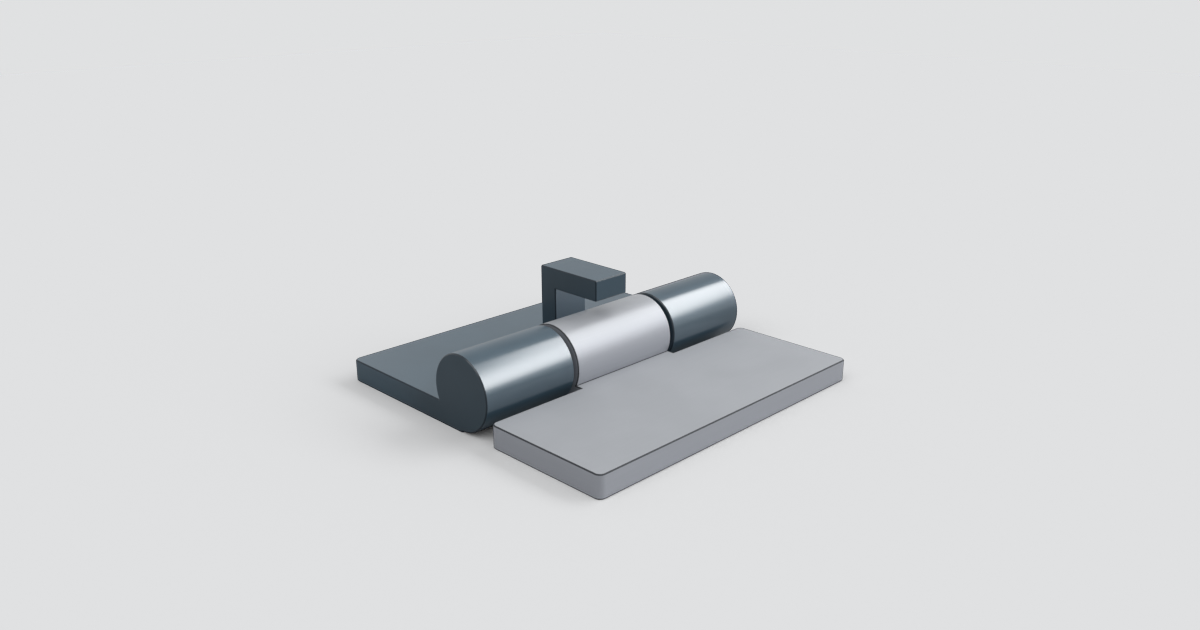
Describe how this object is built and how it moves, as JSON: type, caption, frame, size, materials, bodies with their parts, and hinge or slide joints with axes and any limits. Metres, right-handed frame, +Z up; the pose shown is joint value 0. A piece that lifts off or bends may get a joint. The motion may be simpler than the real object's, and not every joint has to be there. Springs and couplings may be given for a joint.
{
  "type": "folding hinge",
  "caption": "Flap hinge with plain flat leaves, an interleaved barrel on a hidden pin, and a hook over the barrel that stops the moving leaf at a right angle.",
  "frame": {"origin": "centre of the footprint on the underside of the leaves, straight below the middle of the pin", "axes": "+X along the pin, +Y towards the fixed leaf's outer edge, +Z up from the mounting surface"},
  "size_m": [0.05, 0.05, 0.016],
  "materials": {
    "slate_finish": "satin slate blue-grey coat on steel",
    "satin_steel": "fine satin grain along the pin",
    "pin_steel": "ground",
    "washer_steel": "blackened, dull"
  },
  "bodies": {
    "fixed_side": {"fixed_leaf": "slate_finish", "stop_hook": "slate_finish", "hinge_pin": "pin_steel", "near_washer": "washer_steel", "far_washer": "washer_steel"},
    "moving_side": {"moving_leaf": "satin_steel"}
  },
  "joints": [
    {"name": "leaf_fold", "type": "hinge", "parent": "fixed_side", "child": "moving_side", "pos_m": [0, 0, 0.0055], "axis": [-1, 0, 0], "range_deg": [-90, 90]}
  ]
}
